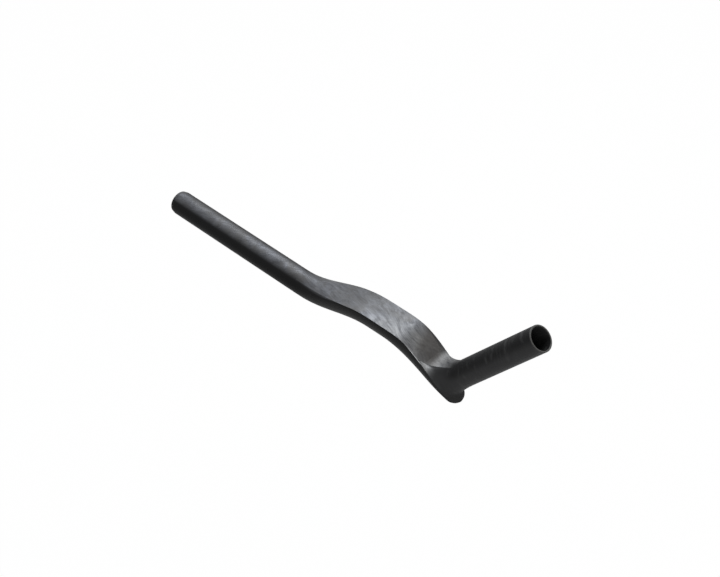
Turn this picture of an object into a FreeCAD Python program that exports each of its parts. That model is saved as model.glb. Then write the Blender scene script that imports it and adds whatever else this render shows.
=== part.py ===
import FreeCAD, Part
import math
import os

import Sketcher
from FreeCAD import Placement, Rotation, Vector

# One hollow moulded carbon extension for an aero handlebar, as the rider's right one is mounted.
# Millimetres, +Z up, +Y to the rear, +X inboard.
# The origin is the centre of the shank's rear end, and the shank runs forward along -Y.
#
# The shank is a round tube.  Ahead of it the tube rises and turns into a flat-topped palm section
# with two sharp top edges, which drops steeply to a thin-lipped foot.  The round grip stands on
# the foot, leaning inboard, and its root flares out to the lip.  The inside is open from the
# shank's rear end to the grip's mouth, so that a cable can pass.

SIZES = [
    ("tube_radius", 11.1, "outer radius of shank and grip"),
    ("wall", 1.5, "thickness of the carbon"),
    ("shank_length", 158.0, "straight round stretch"),
    ("nose_length", 3.5, "lead-in taper at the rear end"),
    ("nose_step", 0.8, "radius lost over that taper"),
    ("crease_angle", 45.0, "where the top edges start, up from the side of the tube"),
    ("widen_length", 62.0, "stretch over which the round section spreads"),
    ("rise_length", 87.0, "from the shank to the crest, along the top"),
    ("crest_height", 25.2, "top of the palm section above the shank's axis"),
    ("strip_width", 27.7, "flat top, edge to edge"),
    ("side_bulge", 0.2, "how far the sides stand outside the top edges"),
    ("side_rise", 1.5, "widest level below the top edges"),
    ("top_crown", 0.3, "crown of the flat top"),
    ("belly_start", 6.0, "where the underside starts to rise"),
    ("belly_rise_length", 78.0, "length of the underside's rise"),
    ("belly_crest", 4.8, "underside of the palm section above the shank's axis"),
    ("belly_drop_start", 100.0, "where the underside starts to fall"),
    ("belly_drop_length", 66.0, "length of that fall"),
    ("sole_depth", 18.0, "underside of the foot below the shank's axis"),
    ("knee_reach", 120.0, "where the top starts to fall"),
    ("knee_height", 23.5, "height of the top there"),
    ("knee_grade", 0.2, "slope of the top there"),
    ("foot_reach", 174.0, "where the top meets the lip"),
    ("foot_depth", 15.5, "depth of the lip's top there below the shank's axis"),
    ("foot_grade", 0.6, "slope of the lip"),
    ("foot_drift", 3.3, "how far the foot lies inboard of the shank"),
    ("drift_start", 97.0, "where the palm section starts to lean inboard"),
    ("drift_length", 63.0, "length of that drift"),
    ("lip_thickness", 1.9, "thickness of the lip"),
    ("lip_radius", 10.0, "rounding of the lip's tip, seen square on"),
    ("lip_middle", 1.8, "centre of that rounding, inboard of the shank's axis"),
    ("lip_centre_reach", 168.8, "centre of that rounding, ahead of the shank"),
    ("lip_spread_in", 20.0, "angle at which the foot widens inboard behind it"),
    ("lip_spread_out", 8.0, "angle at which the foot widens outboard behind it"),
    ("dish_start", 120.0, "where the top starts to sink between its edges"),
    ("dish_length", 32.0, "length over which it sinks"),
    ("dish_depth", 2.6, "how far it sinks"),
    ("dish_end_start", 154.0, "where it starts to rise again towards the lip"),
    ("dish_end_length", 14.0, "length over which it rises"),
    ("wing_start", 138.0, "where the sloping wings beside the dish spread"),
    ("wing_length", 17.0, "length over which they spread"),
    ("wing_edge", 1.0, "width of a wing before it spreads"),
    ("floor_end", 3.0, "width of the dish's floor at the grip's root"),
    ("floor_sag", 0.3, "how much deeper the floor is along its middle than along its edges"),
    ("grip_length", 113.0, "grip axis, from its root in the foot up to the mouth"),
    ("grip_lift", 49.3, "angle of the grip above level"),
    ("grip_lean", 11.9, "angle by which the grip turns inboard, seen from above"),
    ("root_inboard", 4.1, "centre of the grip's root, inboard of the shank's axis"),
    ("root_reach", 160.4, "centre of the grip's root, ahead of the shank"),
    ("root_depth", 9.8, "centre of the grip's root below the shank's axis"),
    ("bore_past_root", 3.5, "how far the grip's hollow runs on past the root"),
    ("flare_height", 29.0, "height over the root where the grip starts to flare"),
    ("flare_out", 3.4, "flare at the foot, outboard"),
    ("flare_in", 1.8, "flare at the foot, inboard"),
    ("flare_front", 3.5, "flare at the foot, to the front"),
    ("heel_height", 18.0, "height over the root where the blend at the grip's rear starts"),
    ("heel_rear", 13.0, "that blend at the foot, to the rear"),
    ("heel_fullness", 1.0, "how square its rear corners are, up to one"),
    ("edge_break", 0.25, "chamfer at the grip's mouth"),
]

# Places of the sections of the palm and foot, as shares of the run from the shank to past the tip.
STATION_SHARES = (0, 0.065, 0.13, 0.21, 0.3, 0.4, 0.5, 0.585, 0.65, 0.71,
                  0.76, 0.79, 0.82, 0.845, 0.88, 0.92, 0.96, 1.0)
LAST_HOLLOW_SHARE = 0.88
PALM_PLACE = "sizes.shank_length + %g * (sizes.lip_centre_reach + 1.2 * sizes.lip_radius)"
# Handle length of a cubic curve that stands for a quarter of a circle of radius one.
QUARTER = 4.0 / 3.0 * (math.sqrt(2.0) - 1.0)

doc = FreeCAD.newDocument("aero_extension")
sheet = doc.addObject("Spreadsheet::Sheet", "sizes")
for row, (alias, value, meaning) in enumerate(SIZES, start=1):
    sheet.set("A%d" % row, alias)
    sheet.set("B%d" % row, str(value))
    sheet.set("C%d" % row, meaning)
    sheet.setAlias("B%d" % row, alias)
doc.recompute()


def size(alias):
    return float(sheet.get(alias))


def ease(position, start, length):
    """Smooth step from 0 to 1 that starts at start and takes length."""
    share = min(max((position - start) / length, 0.0), 1.0)
    return share * share * (3.0 - 2.0 * share)


def top_height(reach):
    """Height of the two top edges, the rise to the crest and then the fall to the foot."""
    crease = size("tube_radius") * math.sin(math.radians(size("crease_angle")))
    crest_end = size("rise_length")
    knee = size("knee_reach")
    if reach <= crest_end:
        return crease + (size("crest_height") - crease) * ease(reach, 0.0, crest_end)
    if reach <= knee:
        return curve_between(reach, crest_end, size("crest_height"), 0.0,
                             knee, size("knee_height"), -size("knee_grade"))
    return curve_between(reach, knee, size("knee_height"), -size("knee_grade"),
                         size("foot_reach"), -size("foot_depth"), -size("foot_grade"))


def curve_between(reach, start, start_height, start_grade, end, end_height, end_grade):
    """Cubic between two points with given slopes, which runs on straight past its end."""
    span = end - start
    share = (reach - start) / span
    if share > 1.0:
        return end_height + (reach - end) * end_grade
    blend = share * share * (3.0 - 2.0 * share)
    leave = share * (1.0 - share) ** 2 * span * start_grade
    arrive = share * share * (share - 1.0) * span * end_grade
    return start_height + (end_height - start_height) * blend + leave + arrive


def grade(reach):
    """Slope of the top edges, by a small step each way."""
    step = 0.5
    return (top_height(reach + step) - top_height(max(reach - step, 0.0))) / (2.0 * step)


def belly_height(reach):
    """Height of the underside's lowest line."""
    low = -size("tube_radius")
    rise = ease(reach, size("belly_start"), size("belly_rise_length"))
    fall = ease(reach, size("belly_drop_start"), size("belly_drop_length"))
    height = low + (size("belly_crest") - low) * rise
    height -= (size("belly_crest") + size("sole_depth")) * fall
    return min(height, top_height(reach) - size("lip_thickness") * math.hypot(1.0, size("foot_grade")))


def section(reach, skin):
    """Measures of the palm section at reach, taken in by skin all round."""
    spread = ease(reach, 0.0, size("widen_length"))
    radius = size("tube_radius")
    angle = math.radians(size("crease_angle"))
    outer = size("strip_width") / 2.0
    upright = skin * math.hypot(1.0, grade(reach))
    crease = radius * math.cos(angle) * (1.0 - spread) + outer * spread
    widest = radius * (1.0 - spread) + (outer + size("side_bulge")) * spread
    top = top_height(reach)
    belly = belly_height(reach)
    rise = radius * math.sin(angle) * (1.0 - spread) + size("side_rise") * spread
    rise = min(rise, 0.45 * (top - belly))
    crown = radius * (1.0 - math.sin(angle)) * (1.0 - spread) + size("top_crown") * spread
    shrink = (radius - skin) / radius
    level = top - rise - upright * spread
    wing_room = crease * shrink - size("floor_end") / 2.0 - size("wing_edge")
    wing_share = ease(reach, size("wing_start"), size("wing_length"))
    dish_share = (ease(reach, size("dish_start"), size("dish_length"))
                  - ease(reach, size("dish_end_start"), size("dish_end_length")))
    return {
        "middle": size("foot_drift") * ease(reach, size("drift_start"), size("drift_length")),
        "crease": crease * shrink,
        "widest": widest - skin,
        "level": level,
        "rise": rise * (shrink * (1.0 - spread) + spread),
        "depth": level - belly - upright,
        "crown": crown * shrink,
        "wing": size("wing_edge") + wing_room * wing_share,
        "dish": size("dish_depth") * dish_share,
        "sag": size("floor_sag") * dish_share,
    }


def split(poles, share):
    """Two cubic curves that together trace the one given, cut at share of its run."""
    a, b, c, d = poles
    ab = a + (b - a) * share
    bc = b + (c - b) * share
    cd = c + (d - c) * share
    abc = ab + (bc - ab) * share
    bcd = bc + (cd - bc) * share
    cut = abc + (bcd - abc) * share
    return [a, ab, abc, cut], [cut, bcd, cd, d]


def lowered(poles, drops):
    return [pole - Vector(0, drop, 0) for pole, drop in zip(poles, drops)]


def palm_outline(measures):
    """The section's seven curves: floor of the top, a wing each side, sides and belly."""
    middle = measures["middle"]
    crease = measures["crease"]
    widest = measures["widest"]
    level = measures["level"]
    rise = measures["rise"]
    depth = measures["depth"]
    dish = measures["dish"]
    handle = measures["crown"] / 0.75
    turn = math.acos(crease / widest)
    arch = rise / math.sin(turn)
    reach_out = 4.0 / 3.0 * math.tan(turn / 4.0)

    corner = Vector(crease, level + rise, 0)
    run = crease * QUARTER
    top = [corner, corner + Vector(-run, handle, 0),
           Vector(-crease + run, corner.y + handle, 0), Vector(-crease, corner.y, 0)]
    share = measures["wing"] / (2.0 * crease)
    wing, rest = split(top, share)
    floor, far_wing = split(rest, (1.0 - 2.0 * share) / (1.0 - share))
    wing = lowered(wing, (0.0, dish / 3.0, dish * 2.0 / 3.0, dish))
    sunk = dish + measures["sag"] / 0.75
    floor = lowered(floor, (dish, sunk, sunk, dish))
    far_wing = lowered(far_wing, (dish, dish * 2.0 / 3.0, dish / 3.0, 0.0))

    side = [Vector(widest, level, 0), Vector(widest, level + arch * reach_out, 0),
            Vector(crease + reach_out * widest * math.sin(turn),
                   level + rise - reach_out * arch * math.cos(turn), 0), corner]
    belly = [Vector(0, level - depth, 0), Vector(widest * QUARTER, level - depth, 0),
             Vector(widest, level - depth * QUARTER, 0), side[0]]
    far_side = [Vector(-pole.x, pole.y, 0) for pole in reversed(side)]
    far_belly = [Vector(-pole.x, pole.y, 0) for pole in reversed(belly)]
    curves = [wing, floor, far_wing, far_side, far_belly, belly, side]
    return [[pole + Vector(middle, 0, 0) for pole in curve] for curve in curves]


def oval_outline(inboard, rear, outboard, front, fullness):
    """Four rounded quarters that share their end points and directions, the rear two fuller."""
    arms = [(inboard, rear, fullness), (-outboard, rear, fullness),
            (-outboard, -front, QUARTER), (inboard, -front, QUARTER)]
    curves = []
    for index, (across, along, handle) in enumerate(arms):
        start = [Vector(across, 0, 0), Vector(across, along * handle, 0),
                 Vector(across * handle, along, 0), Vector(0, along, 0)]
        curves.append(start if index % 2 == 0 else list(reversed(start)))
    return curves


def origin_plane(body, role):
    for feature in body.Origin.OriginFeatures:
        if feature.Role == role:
            return feature
    raise RuntimeError("no plane " + role)


def add_sketch(body, name, role, place):
    sketch = body.newObject("Sketcher::SketchObject", name)
    sketch.AttachmentSupport = [(origin_plane(body, role), "")]
    sketch.MapMode = "FlatFace"
    sketch.AttachmentOffset = place
    return sketch


def add_arcs(sketch, radius, angles):
    """Draw a circle as arcs that meet at the given angles in degrees, the last back at the first."""
    circle = Part.Circle(Vector(0, 0, 0), Vector(0, 0, 1), radius)
    for start, end in zip(angles, angles[1:]):
        sketch.addGeometry(Part.ArcOfCircle(circle, math.radians(start), math.radians(end)), False)
    tie_ends(sketch, len(angles) - 1)


def add_outline(sketch, curves):
    """Draw a closed run of cubic curves."""
    for poles in curves:
        bezier = Part.BezierCurve()
        bezier.setPoles(poles)
        sketch.addGeometry(bezier.toBSpline(), False)
    tie_ends(sketch, len(curves))


def tie_ends(sketch, count):
    """Tie each of the first count pieces of a sketch to the next, all round."""
    for index in range(count):
        sketch.addConstraint(Sketcher.Constraint("Coincident", index, 2, (index + 1) % count, 1))


def add_palm_sections(body, label, shares, skin):
    """Sketches of the section at shares of the run, which ends well past the lip's tip."""
    run = size("lip_centre_reach") + 1.2 * size("lip_radius")
    sketches = []
    for number, share in enumerate(shares):
        reach = share * run
        sketch = add_sketch(body, "%s_%02d" % (label, number), "XZ_Plane", Placement())
        sketch.setExpression("AttachmentOffset.Base.z", PALM_PLACE % share)
        measures = section(reach, skin)
        if reach == 0:
            crease_angle = size("crease_angle")
            across = 180.0 - 2.0 * crease_angle
            wing = across * measures["wing"] / (2.0 * measures["crease"])
            add_arcs(sketch, measures["widest"], [
                crease_angle, crease_angle + wing, 180.0 - crease_angle - wing,
                180.0 - crease_angle, 180.0, 270.0, 360.0, 360.0 + crease_angle])
        else:
            add_outline(sketch, palm_outline(measures))
        sketches.append(sketch)
    return sketches


def grip_rotation():
    """Turns the sketch axes to inboard, rear and along the grip, out of its mouth."""
    lift = math.radians(size("grip_lift"))
    lean = math.radians(size("grip_lean"))
    out = Vector(math.sin(lean) * math.cos(lift), -math.cos(lean) * math.cos(lift), math.sin(lift))
    inboard = Vector(1, 0, 0) - out * out.x
    inboard.normalize()
    return Rotation(inboard, out.cross(inboard), out, "ZXY"), out


def grip_place(height):
    """Place on the grip's axis, height over its root."""
    rotation, out = grip_rotation()
    reach = size("shank_length") + size("root_reach")
    root = Vector(size("root_inboard"), -reach, -size("root_depth"))
    return Placement(root + out * height, rotation)


def add_polygon(sketch, corners):
    """Closed polygon whose corners are given as expressions on the sheet, across and up."""
    guesses = [Vector(value_of(across), value_of(up), 0) for across, up in corners]
    count = len(corners)
    for index in range(count):
        sketch.addGeometry(Part.LineSegment(guesses[index], guesses[(index + 1) % count]), False)
    for index in range(count):
        sketch.addConstraint(Sketcher.Constraint("Coincident", index, 2, (index + 1) % count, 1))
    for index, (across, up) in enumerate(corners):
        for kind, expression in (("DistanceX", across), ("DistanceY", up)):
            value = value_of(expression)
            number = sketch.addConstraint(Sketcher.Constraint(kind, -1, 1, index, 1, value))
            if value != 0.0:
                name = "%s_%d" % (kind.lower(), index)
                sketch.renameConstraint(number, name)
                sketch.setExpression("Constraints." + name, expression)


def value_of(expression):
    """Number that a sum of sheet sizes comes to."""
    total = 0.0
    for term in expression.replace("- ", "+ -").split("+ "):
        term = term.strip()
        sign = -1.0 if term.startswith("-") else 1.0
        name = term.lstrip("-")
        total += sign * (size(name[6:]) if name.startswith("sizes.") else float(name))
    return total


def add_shank(body):
    """Round tube with a lead-in taper at its rear end, turned from its half section."""
    profile = add_sketch(body, "shank_profile", "YZ_Plane", Placement())
    inner = "sizes.tube_radius - sizes.wall"
    add_polygon(profile, [("0", inner), ("0", "sizes.tube_radius - sizes.nose_step"),
                          ("-sizes.nose_length", "sizes.tube_radius"),
                          ("-sizes.shank_length", "sizes.tube_radius"), ("-sizes.shank_length", inner)])
    shank = body.newObject("PartDesign::Revolution", "shank")
    shank.Profile = profile
    shank.ReferenceAxis = (profile, ["H_Axis"])
    shank.Angle = 360.0
    doc.recompute()


def add_palm(body):
    sections = add_palm_sections(body, "palm_section", STATION_SHARES, 0.0)
    palm = body.newObject("PartDesign::AdditiveLoft", "palm")
    palm.Profile = sections[0]
    palm.Sections = sections[1:]
    doc.recompute()


def add_lip_cut(body):
    """Round the foot to an egg shape, cut square to the slope of the lip."""
    slope = math.degrees(math.atan(size("foot_grade")))
    radius = size("lip_radius")
    reach = size("shank_length") + size("lip_centre_reach")
    centre = Vector(size("lip_middle"), -reach, top_height(size("lip_centre_reach")))
    sketch = add_sketch(body, "lip_outline", "XY_Plane", Placement(centre, Rotation(Vector(1, 0, 0), slope)))

    inboard = math.radians(size("lip_spread_in"))
    outboard = math.radians(size("lip_spread_out"))
    start = Vector(radius * math.cos(inboard), -radius * math.sin(inboard), 0)
    end = Vector(-radius * math.cos(outboard), -radius * math.sin(outboard), 0)
    back = 3.0 * radius
    margin = 4.0 * radius
    start_back = Vector(start.x + (back - start.y) * math.tan(inboard), back, 0)
    end_back = Vector(end.x - (back - end.y) * math.tan(outboard), back, 0)
    corners = [start, start_back, Vector(margin, back, 0), Vector(margin, -margin, 0),
               Vector(-margin, -margin, 0), Vector(-margin, back, 0), end_back, end]
    for first, second in zip(corners, corners[1:]):
        sketch.addGeometry(Part.LineSegment(first, second), False)
    sketch.addGeometry(Part.Arc(end, Vector(0, -radius, 0), start), False)
    count = len(corners)
    for index in range(count - 1):
        sketch.addConstraint(Sketcher.Constraint("Coincident", index, 2, index + 1, 1))

    before = body.Tip.Shape.Volume
    cut = body.newObject("PartDesign::Pocket", "lip_cut")
    cut.Profile = sketch
    cut.Type = "ThroughAll"
    cut.Midplane = True
    doc.recompute()
    if cut.Shape.Volume > before - 1.0:
        raise RuntimeError("the lip cut removed nothing")


def add_turned(body, name, kind, corners):
    """Half section beside the grip's axis, up from its root, turned once round that axis."""
    upright = grip_place(0.0) * Placement(Vector(0, 0, 0), Rotation(Vector(1, 0, 0), 90.0))
    profile = add_sketch(body, name + "_profile", "XY_Plane", upright)
    add_polygon(profile, corners)
    turned = body.newObject(kind, name)
    turned.Profile = profile
    turned.ReferenceAxis = (profile, ["V_Axis"])
    turned.Angle = 360.0
    doc.recompute()


def add_grip(body):
    add_turned(body, "grip", "PartDesign::Revolution", [
        ("0", "0"), ("sizes.tube_radius", "0"),
        ("sizes.tube_radius", "sizes.grip_length - sizes.edge_break"),
        ("sizes.tube_radius - sizes.edge_break", "sizes.grip_length"), ("0", "sizes.grip_length")])


def add_flare(body):
    """Root of the grip, which spreads slowly all round and fast at the rear, like a moulded blend."""
    radius = size("tube_radius")
    sketches = []
    for number, share in enumerate((0.0, 0.25, 0.45, 0.6, 0.72, 0.82, 0.9, 0.96, 1.0)):
        height = size("flare_height") * (1.0 - share)
        heel_share = max(1.0 - height / size("heel_height"), 0.0)
        swell = 1.0 - math.sqrt(1.0 - share * share)
        heel = 1.0 - math.sqrt(1.0 - heel_share * heel_share)
        sketch = add_sketch(body, "flare_section_%d" % number, "XY_Plane", grip_place(height))
        if number == 0:
            add_arcs(sketch, radius, [0.0, 90.0, 180.0, 270.0, 360.0])
        else:
            add_outline(sketch, oval_outline(
                radius + size("flare_in") * swell, radius + size("heel_rear") * heel,
                radius + size("flare_out") * swell, radius + size("flare_front") * swell,
                QUARTER + (size("heel_fullness") - QUARTER) * heel_share))
        sketches.append(sketch)
    flare = body.newObject("PartDesign::AdditiveLoft", "flare")
    flare.Profile = sketches[0]
    flare.Sections = sketches[1:]
    doc.recompute()


def add_hollow(body):
    shares = [share for share in STATION_SHARES if share <= LAST_HOLLOW_SHARE]
    sections = add_palm_sections(body, "hollow_section", shares, size("wall"))
    hollow = body.newObject("PartDesign::SubtractiveLoft", "palm_hollow")
    hollow.Profile = sections[0]
    hollow.Sections = sections[1:]
    doc.recompute()
    inner = "sizes.tube_radius - sizes.wall"
    add_turned(body, "grip_bore", "PartDesign::Groove", [
        ("0", "-sizes.bore_past_root"), (inner, "-sizes.bore_past_root"),
        (inner, "sizes.grip_length - sizes.edge_break"),
        (inner + " + sizes.edge_break", "sizes.grip_length"), ("0", "sizes.grip_length")])


def check(item):
    for state in item.State:
        if state in ("Invalid", "Error"):
            raise RuntimeError("%s is %s" % (item.Name, state))


body = doc.addObject("PartDesign::Body", "aero_extension")
body.Label = "aero_extension"
add_shank(body)
add_palm(body)
add_lip_cut(body)
add_grip(body)
add_flare(body)
add_hollow(body)
doc.recompute()

for item in doc.Objects:
    check(item)
shape = body.Shape
if shape.isNull() or not shape.isValid():
    raise RuntimeError("the extension has no valid shape")
print("solids", len(shape.Solids), "volume", round(shape.Volume), "box", shape.BoundBox)

os.makedirs("parts", exist_ok=True)
shape.exportStep("parts/%s.step" % body.Label)
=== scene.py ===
"""A hollow moulded carbon extension for an aero handlebar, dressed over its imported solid.

The solid is replaced by three smooth skins on the same sizes: the turned shank, the flat-topped arm
with its lipped foot, and the grip whose root is draped onto the foot.
"""

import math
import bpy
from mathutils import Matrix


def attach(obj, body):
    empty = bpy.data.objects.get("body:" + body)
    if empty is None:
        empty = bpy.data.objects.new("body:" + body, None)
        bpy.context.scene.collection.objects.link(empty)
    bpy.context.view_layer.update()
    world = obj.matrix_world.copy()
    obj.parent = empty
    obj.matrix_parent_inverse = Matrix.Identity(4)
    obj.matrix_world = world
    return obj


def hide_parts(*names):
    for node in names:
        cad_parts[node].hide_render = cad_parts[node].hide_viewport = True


bl_info = {
    "name": "Aero handlebar extension",
    "version": (1, 0, 0),
    "blender": (4, 5, 0),
    "location": "View3D > Sidebar > Extension",
    "description": "Builds a moulded carbon handlebar extension and the studio that it is shown in",
    "category": "Object",
}

import bmesh
import bpy
from mathutils import Matrix, Vector
from mathutils.bvhtree import BVHTree

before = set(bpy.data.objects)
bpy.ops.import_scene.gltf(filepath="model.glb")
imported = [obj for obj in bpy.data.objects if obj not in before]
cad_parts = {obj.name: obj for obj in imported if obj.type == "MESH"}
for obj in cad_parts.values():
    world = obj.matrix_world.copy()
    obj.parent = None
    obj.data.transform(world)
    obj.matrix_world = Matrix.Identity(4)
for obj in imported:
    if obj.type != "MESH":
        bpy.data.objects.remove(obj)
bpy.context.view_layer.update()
NODE = "aero_extension"
BODY = "root"


class Value:
    """A number socket that takes part in arithmetic, where each operator adds its Math node."""

    def __init__(self, graph, socket):
        self.graph = graph
        self.socket = socket

    def math(self, operation, *others, clamp=False):
        inputs = dict(enumerate((self, *others)))
        made = self.graph.node("ShaderNodeMath", {"operation": operation, "use_clamp": clamp}, inputs)
        return Value(self.graph, made.outputs[0])

    def __add__(self, other):
        return self.math("ADD", other)

    def __sub__(self, other):
        return self.math("SUBTRACT", other)

    def __mul__(self, other):
        return self.math("MULTIPLY", other)

    def __truediv__(self, other):
        return self.math("DIVIDE", other)

    def __pow__(self, other):
        return self.math("POWER", other)

    def __gt__(self, other):
        return self.math("GREATER_THAN", other)

    def __neg__(self):
        return self.math("MULTIPLY", -1.0)

    def __abs__(self):
        return self.math("ABSOLUTE")

    def __rsub__(self, other):
        return self.graph.number(other).math("SUBTRACT", self)

    def __rtruediv__(self, other):
        return self.graph.number(other).math("DIVIDE", self)

    __radd__ = __add__
    __rmul__ = __mul__

    def sqrt(self):
        return self.math("MAXIMUM", 0.0).math("SQRT")

    def clamp(self):
        return self.math("ADD", 0.0, clamp=True)

    def above(self, level, gain):
        """How far the value lies above a level, times a gain, kept between 0 and 1."""
        return ((self - level) * gain).clamp()


class Graph:
    """A node tree under construction."""

    def __init__(self, tree):
        self.tree = tree

    def node(self, kind, settings=None, inputs=None):
        """A new node: its settings are set first, then its sockets get their values or links."""
        made = self.tree.nodes.new(kind)
        for name, value in (settings or {}).items():
            setattr(made, name, value)
        for key, value in (inputs or {}).items():
            socket = made.inputs[key]
            if isinstance(value, Value):
                value = value.socket
            if isinstance(value, bpy.types.NodeSocket):
                self.tree.links.new(value, socket)
            else:
                socket.default_value = value
        return made

    def value(self, socket):
        return Value(self, socket)

    def number(self, number):
        """A plain number at the left of an operator."""
        return Value(self, self.node("ShaderNodeMath", {"operation": "ADD"}, {0: number, 1: 0.0}).outputs[0])

    def ease(self, position, start, length):
        """Smooth step from 0 to 1 that starts at start and takes length."""
        made = self.node("ShaderNodeMapRange", {"interpolation_type": "SMOOTHSTEP"}, {
            "Value": position, "From Min": start, "From Max": length + start})
        return self.value(made.outputs[0])

    def pick(self, mask, when_true, when_false):
        """Number that runs from when_false to when_true with the mask."""
        made = self.node("ShaderNodeMix", {"data_type": "FLOAT"}, {0: mask, 2: when_false, 3: when_true})
        return self.value(made.outputs[0])

    def span(self, position, start, rise, end, fall):
        """Mask that comes up over rise from start and goes down over fall from end."""
        return self.ease(position, start, rise) * (1.0 - self.ease(position, end, fall))

    def noise(self, vector, scale, detail=2.0, rough=0.5, distortion=0.0):
        made = self.node("ShaderNodeTexNoise", None, {
            "Vector": vector, "Scale": scale, "Detail": detail, "Roughness": rough,
            "Distortion": distortion})
        return self.value(made.outputs[0])

    def mix(self, share, first, second):
        """Colour that runs from first to second with the share."""
        made = self.node("ShaderNodeMix", {"data_type": "RGBA"}, {0: share, 6: first, 7: second})
        return made.outputs[2]

    def split(self, vector):
        parts = self.node("ShaderNodeSeparateXYZ", None, {0: vector})
        return [self.value(parts.outputs[axis]) for axis in "XYZ"]

    def join(self, x, y, z):
        return self.node("ShaderNodeCombineXYZ", None, {"X": x, "Y": y, "Z": z}).outputs[0]

    def scaled(self, vector, factor):
        made = self.node("ShaderNodeVectorMath", {"operation": "SCALE"}, {0: vector, "Scale": factor})
        return made.outputs[0]

    def vector_math(self, operation, *inputs):
        made = self.node("ShaderNodeVectorMath", {"operation": operation}, dict(enumerate(inputs)))
        return made.outputs[0]


class FormSizes(bpy.types.PropertyGroup):
    """Sizes of the moulded form, as in the solid that it dresses."""

    tube_radius: bpy.props.FloatProperty(
        name="Tube radius", description="Outside radius of shank and grip",
        default=0.0111, unit="LENGTH")
    wall: bpy.props.FloatProperty(
        name="Wall", description="Thickness of the carbon", default=0.0015, unit="LENGTH")
    shank_length: bpy.props.FloatProperty(
        name="Shank length", description="Straight round stretch", default=0.158, unit="LENGTH")
    nose_length: bpy.props.FloatProperty(
        name="Nose length", description="Lead-in taper at the rear end", default=0.0035, unit="LENGTH")
    nose_step: bpy.props.FloatProperty(
        name="Nose step", description="Radius lost over the taper", default=0.0008, unit="LENGTH")
    crest_height: bpy.props.FloatProperty(
        name="Crest height", description="Top of the arm above the shank's axis",
        default=0.0252, unit="LENGTH")
    rise_length: bpy.props.FloatProperty(
        name="Rise length", description="From the shank to the crest", default=0.087, unit="LENGTH")
    strip_width: bpy.props.FloatProperty(
        name="Strip width", description="Flat top, edge to edge", default=0.0277, unit="LENGTH")
    dish_depth: bpy.props.FloatProperty(
        name="Dish depth", description="How far the flat top sinks before the grip",
        default=0.0026, unit="LENGTH")
    lip_radius: bpy.props.FloatProperty(
        name="Lip radius", description="Rounding of the foot's tip", default=0.010, unit="LENGTH")
    grip_lift: bpy.props.FloatProperty(
        name="Grip lift", description="Angle of the grip above level",
        default=math.radians(49.3), subtype="ANGLE")
    grip_lean: bpy.props.FloatProperty(
        name="Grip lean", description="Angle by which the grip turns inboard",
        default=math.radians(11.9), subtype="ANGLE")
    mouth: bpy.props.FloatVectorProperty(
        name="Mouth", description="Centre of the grip's mouth",
        default=(0.019295, -0.390504, 0.075869), subtype="TRANSLATION", unit="LENGTH")


class FinishSizes(bpy.types.PropertyGroup):
    """Colours of the clear-coated carbon, and of the painted shade and painted highlights on it."""

    resin: bpy.props.FloatVectorProperty(
        name="Resin", description="Colour of the plain dark sides",
        default=(0.011, 0.011, 0.0112), subtype="COLOR", size=3)
    carbon: bpy.props.FloatVectorProperty(
        name="Carbon", description="Colour of the strands between the sheen",
        default=(0.055, 0.056, 0.060), subtype="COLOR", size=3)
    fibre: bpy.props.FloatVectorProperty(
        name="Fibre", description="Colour of the brighter strands",
        default=(0.120, 0.124, 0.136), subtype="COLOR", size=3)
    warm: bpy.props.FloatVectorProperty(
        name="Warm cast", description="Brownish cast of the resin over the strands",
        default=(0.080, 0.077, 0.072), subtype="COLOR", size=3)
    straw: bpy.props.FloatVectorProperty(
        name="Straw", description="Warmer strands towards the outboard crease and the foot",
        default=(0.158, 0.157, 0.152), subtype="COLOR", size=3)
    # Painted shade: the steep part of the arm is painted darker and browner where it faces away from the
    # light.
    painted_steep_shade: bpy.props.FloatVectorProperty(
        name="Pooled resin", description="Colour of the steep part, where the resin lies thicker",
        default=(0.046, 0.043, 0.041), subtype="COLOR", size=3)
    # Painted highlight: the wing and the outboard crease at the foot are painted bright where light glints on
    # them.
    painted_highlight: bpy.props.FloatVectorProperty(
        name="Polished edge", description="Colour of the polished wing and crease at the foot",
        default=(0.340, 0.345, 0.350), subtype="COLOR", size=3)
    dust: bpy.props.FloatVectorProperty(
        name="Dust", description="Colour of specks and wrap marks",
        default=(0.080, 0.080, 0.080), subtype="COLOR", size=3)


class StudioSizes(bpy.types.PropertyGroup):
    """The camera and the light."""

    camera_place: bpy.props.FloatVectorProperty(
        name="Camera place", description="Where the camera stands",
        default=(-0.63025, -0.8031, 0.7992), subtype="TRANSLATION", unit="LENGTH")
    camera_azimuth: bpy.props.FloatProperty(
        name="Camera azimuth", description="Turn of the camera round the object",
        default=math.radians(-47.46), subtype="ANGLE")
    camera_elevation: bpy.props.FloatProperty(
        name="Camera elevation", description="Height of the camera over the level",
        default=math.radians(41.80), subtype="ANGLE")
    camera_roll: bpy.props.FloatProperty(
        name="Camera roll", description="Tilt of the camera round its view",
        default=math.radians(1.19), subtype="ANGLE")
    camera_lens: bpy.props.FloatProperty(
        name="Lens", description="Focal length in millimetres", default=70.53, unit="CAMERA")
    floor_drop: bpy.props.FloatProperty(
        name="Floor drop", description="How far the floor lies under the shank",
        default=0.30, unit="LENGTH")


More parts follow.
